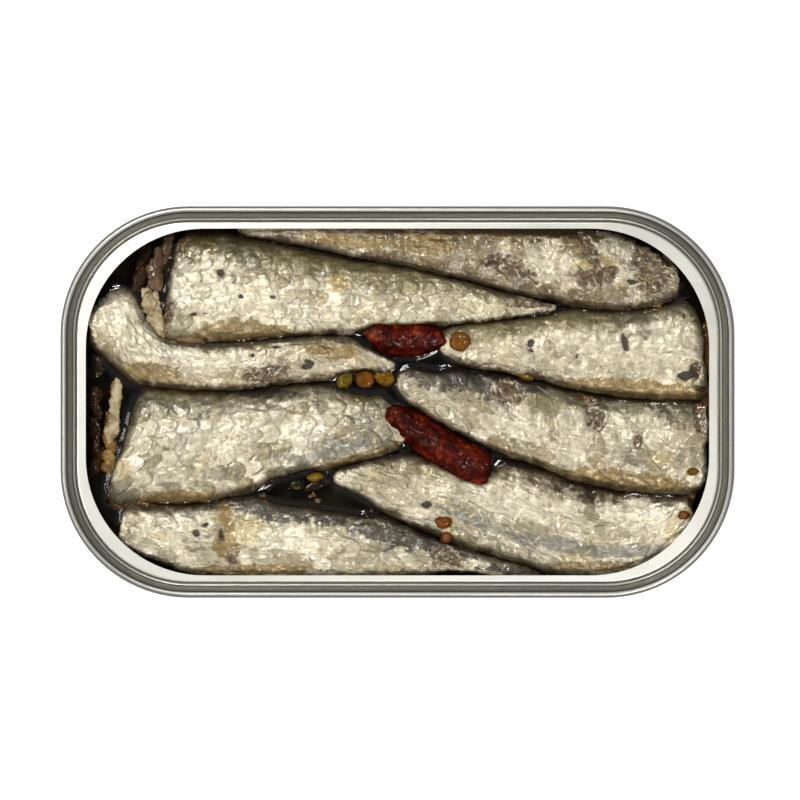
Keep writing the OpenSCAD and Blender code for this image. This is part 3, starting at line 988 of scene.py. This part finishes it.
def lump(centre, size, turn, seed, rough, rings=18, around=24):
    """A small uneven closed lump: its points and faces."""
    phi = np.linspace(0, math.pi, rings)[:, None]
    theta = np.linspace(0, 2 * math.pi, around, endpoint=False)[None, :]
    ball = np.stack([np.cos(phi) + 0 * theta, np.sin(phi) * np.cos(theta), np.sin(phi) * np.sin(theta)], -1)
    ball = ball * np.array(size) / 2
    ball = ball * (1 + rough * fractal(ball / LUMP_GRAIN + 3.7 * seed, seed, 4, 0.65)[..., None])
    points = turned(ball, math.radians(turn)).reshape(-1, 3) + centre
    points = np.vstack([points, [points[0], points[-1]]])
    return points, loft_faces(rings, around)


def join_lumps(name, lumps, material, channel, values):
    """Makes one piece of all the lumps, which gives the material one value for each lump."""
    faces, start = [], 0
    for points, lump_faces in lumps:
        faces += [tuple(i + start for i in face) for face in lump_faces]
        start += len(points)
    piece = make_piece(name, np.vstack([points for points, _ in lumps]), faces, [material])
    give(piece, {channel: np.repeat(values, [len(points) for points, _ in lumps])})
    return piece


def spot(along, across):
    """A place in percent of half the tin's inside length and width, in millimetres."""
    return np.array([along, across]) * half_inside / 100


def top_at(x, y, trees):
    """How high the highest skin or the oil's surface is at a place."""
    start = Vector((x, y, seam_top)) * MM
    hits = [tree.ray_cast(start, Vector((0, 0, -1)))[0] for tree in trees]
    return max([oil_level] + [hit.z / MM for hit in hits if hit is not None])


# [along, across, length, width, turn, how ripe, whether it lies on a skin]
SEEDS = [
    (19, 32, 3.4, 3.0, 20, 0.85, 1), (-16, 12, 2.9, 2.4, 60, 0.15, 0), (-10, 12, 3.0, 2.6, -15, 0.9, 0),
    (-4, 13, 2.7, 3.2, 70, 0.6, 0), (39, 14, 3.0, 1.3, -18, 0.6, 0), (-25, -40, 2.6, 1.4, 10, 0.5, 0),
    (14, -64, 2.7, 2.0, -10, 1.0, 1), (15, -72, 2.0, 1.7, 25, 1.0, 1), (90, -37, 1.6, 1.2, 0, 0.8, 1),
    (87, -60, 1.8, 1.3, 15, 0.9, 1),
]
SEED_THICK = 1.7
SEED_OVER_SKIN = 0.35
SEED_OVER_OIL = 0.75


def make_seeds(trees):
    lumps, ripeness = [], []
    for k, (along, across, length, width, turn, ripe, lying) in enumerate(SEEDS):
        x, y = spot(along, across)
        z = top_at(x, y, trees) + SEED_OVER_SKIN if lying else oil_level + SEED_OVER_OIL
        points, faces = lump((x, y, z), (length, width, SEED_THICK), turn, 300 + k, 0.3)
        hollow = np.exp(-((points[:, 0] - x) ** 2 + (points[:, 1] - y) ** 2) / (0.3 * width) ** 2)
        points[:, 2] -= 0.25 * hollow * (points[:, 2] > z)
        lumps.append((points, faces))
        ripeness.append(ripe)
    piece = join_lumps("chilli_seeds", lumps, seed_material(), "ripe", ripeness)


# Ragged flesh at the cut ends and in the gaps: [from along, across, to along, across, how wide, how
# many shreds, depth below the oil, how fatty]
FRAYS = [
    (-70, 91, -75, 58, 1.8, 9, -0.6, 0.15), (-75, 58, -73, 38, 2.0, 7, -0.9, 0.62),
    (-73, 38, -60, 31, 1.5, 8, -0.6, 0.25), (-77, 88, -80, 60, 2.0, 4, 1.6, 0.05),
    (-86, 10, -87, -16, 1.0, 6, -0.4, 0.72), (-88, -14, -88, -38, 1.0, 4, 0.3, 0.6),
    (-92, 18, -93, -36, 3.0, 8, 1.9, 0.1), (-84, -55, -72, -59, 1.4, 7, 0.0, 0.3),
    (84, 80, 80, 58, 1.8, 9, -0.4, 0.2), (80, 56, 66, 53, 1.2, 7, -0.7, 0.62),
    (95, 6, 95, -16, 1.4, 6, 0.0, 0.2), (95, 42, 95, 16, 1.2, 6, 0.2, 0.35),
    (14, -60, 22, -82, 1.6, 8, -0.2, 0.2), (22, -82, 28, -90, 1.8, 4, -0.2, 0.55),
    (90, -48, 82, -62, 1.2, 5, 0.2, 0.45), (-44, -45, -22, -42, 2.4, 3, 2.6, 0.05),
    (26, -86, 52, -97, 2.2, 6, 1.2, 0.15), (-42, 28, -28, 24, 0.8, 4, -1.2, 0.35),
]


def make_flesh():
    draw = np.random.default_rng(11)
    lumps, fat = [], []
    for along_0, across_0, along_1, across_1, spread, count, depth, fatty in FRAYS:
        start, end = spot(along_0, across_0), spot(along_1, across_1)
        turn = math.degrees(math.atan2(*(end - start)[::-1]))
        for k in range(count):
            place = (k + draw.uniform(0, 1)) / count
            x, y = start + (end - start) * place + draw.normal(0, spread / 6, 2)
            length, width = draw.uniform(2.4, 5.0), draw.uniform(1.4, 2.6)
            thick = draw.uniform(0.5, 0.8)
            top = oil_level - depth + draw.uniform(-0.4, 0.2)
            points, faces = lump((x, y, top - thick / 2), (length, width, thick),
                                 turn + draw.normal(0, 10), len(lumps), 0.55, 28, 22)
            lumps.append((kept_inside(points, FLESH_TO_WALL), faces))
            fat.append(np.clip(fatty + draw.normal(0, 0.1), 0, 1))
    piece = join_lumps("loose_flesh", lumps, flesh_material(), "fat", fat)


# Scraps of skin and flesh: [along, across, size, how pale]
CRUMBS = [
    (-41, -48, 1.0, 0.2), (-25, -50, 0.9, 0.2), (-9, -59, 0.8, 0.2), (12, -60, 0.9, 0.9), (17, -68, 1.0, 0.9),
    (60, 45, 0.7, 0.3), (71, 50, 0.8, 0.4), (88, 45, 0.8, 0.2), (-46, 33, 0.7, 0.9), (-11, -2, 0.7, 0.9),
]


def make_crumbs(trees):
    draw = np.random.default_rng(5)
    lumps, fat = [], []
    for k, (along, across, size, pale) in enumerate(CRUMBS):
        for _ in range(3):
            x, y = spot(along, across) + draw.normal(0, 0.45, 2)
            part = size * draw.uniform(0.5, 1.1)
            points, faces = lump((x, y, top_at(x, y, trees)),
                                 (part, part * draw.uniform(0.5, 0.9), 0.35), draw.uniform(0, 180),
                                 500 + k, 0.5, 10, 14)
            lumps.append((points, faces))
            fat.append(0.1 + 0.6 * pale)
    piece = join_lumps("crumbs", lumps, flesh_material(), "fat", fat)


# ----- the scene -----

def make_floor():
    bpy.ops.mesh.primitive_plane_add(size=4.0)
    floor = bpy.context.object
    floor.name = "floor"
    n = Nodes("floor_white")
    tone = n.noise(n.place(), 0.02, 3.0)
    white = n.mix(tone, (0.94, 0.94, 0.94), (0.97, 0.97, 0.97))
    shader = n.add("BsdfPrincipled", in_Base_Color=white, in_Roughness=0.9)
    shader.inputs["Emission Color"].default_value = rgba((1, 1, 1))
    shader.inputs["Emission Strength"].default_value = 0.6
    floor.data.materials.append(n.shade(shader))


def make_world():
    """Soft light from a wide ring overhead, dim near the horizon and dark straight above, where the
    person who looks at the tin is."""
    world = bpy.data.worlds.new("studio")
    world.use_nodes = True
    tree = world.node_tree
    sky = tree.nodes["Background"]
    where = tree.nodes.new("ShaderNodeTexCoord")
    split = tree.nodes.new("ShaderNodeSeparateXYZ")
    ramp = tree.nodes.new("ShaderNodeValToRGB")
    tree.links.new(where.outputs["Generated"], split.inputs[0])
    tree.links.new(split.outputs[2], ramp.inputs[0])
    stops = [(0.0, 0.05), (0.3, 0.12), (0.55, 0.42), (0.75, 0.62), (0.96, 0.62), (0.99, 0.14), (1.0, 0.05)]
    set_stops(ramp.color_ramp, [(place, (grey, grey, grey * 0.99)) for place, grey in stops])
    tree.links.new(ramp.outputs[0], sky.inputs[0])
    sky.inputs[1].default_value = 1.0
    scene.world = world


def make_lamp(name, place, size, power):
    """A square soft lamp, in millimetres, that looks at the tin."""
    data = bpy.data.lights.new(name, "AREA")
    data.size = size * MM
    data.energy = power
    lamp = bpy.data.objects.new(name, data)
    lamp.location = Vector(place) * MM
    lamp.rotation_euler = (Vector((0, 0, 20)) - Vector(place)).to_track_quat("-Z", "Y").to_euler()
    scene.collection.objects.link(lamp)


def make_camera():
    data = bpy.data.cameras.new("camera")
    data.sensor_width = SENSOR
    data.lens = SENSOR * CAMERA_HEIGHT / VIEW_WIDTH
    data.clip_start, data.clip_end = 0.01, 10
    camera = bpy.data.objects.new("camera", data)
    camera.location = Vector((AIM[0], AIM[1], seam_top + CAMERA_HEIGHT)) * MM
    scene.collection.objects.link(camera)
    scene.camera = camera


scene.view_settings.view_transform = "Standard"
make_camera()
make_world()
make_lamp("key", (-120, 230, 640), 110, 1.45)
make_lamp("fill", (120, -220, 640), 100, 1.0)
make_lamp("side", (-360, -20, 600), 160, 0.7)
make_floor()

# The lid ring's metal gets painted shade by height; the tin body gets none
ring_painted_shades = [(seam_top - below, bright) for below, bright in RING_PAINTED_SHADES]
for name, colour, rough, shades in (("tin_body", srgb(172, 171, 167), 0.24, None),
                                    ("lid_ring", srgb(212, 210, 202), 0.36, ring_painted_shades)):
    metal = tin_material(f"{name}_tinplate", colour, rough, shades)
    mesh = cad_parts[name].data
    mesh.materials.clear()
    mesh.materials.append(metal)

solids = {}
for name in [f"sardine_{k + 1}" for k in range(SARDINES)] + [f"chilli_{k + 1}" for k in range(PODS)]:
    solids[name] = search_tree(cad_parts[name])

sardines = [make_sardine(number) for number in range(1, SARDINES + 1)]
pod_skin = pod_material()
pods = [make_pod(number, pod_skin) for number in range(1, PODS + 1)]
skins = [search_tree(piece) for piece in sardines + pods]
make_oil(skins)

make_seeds(skins)
make_flesh()
make_crumbs(skins)
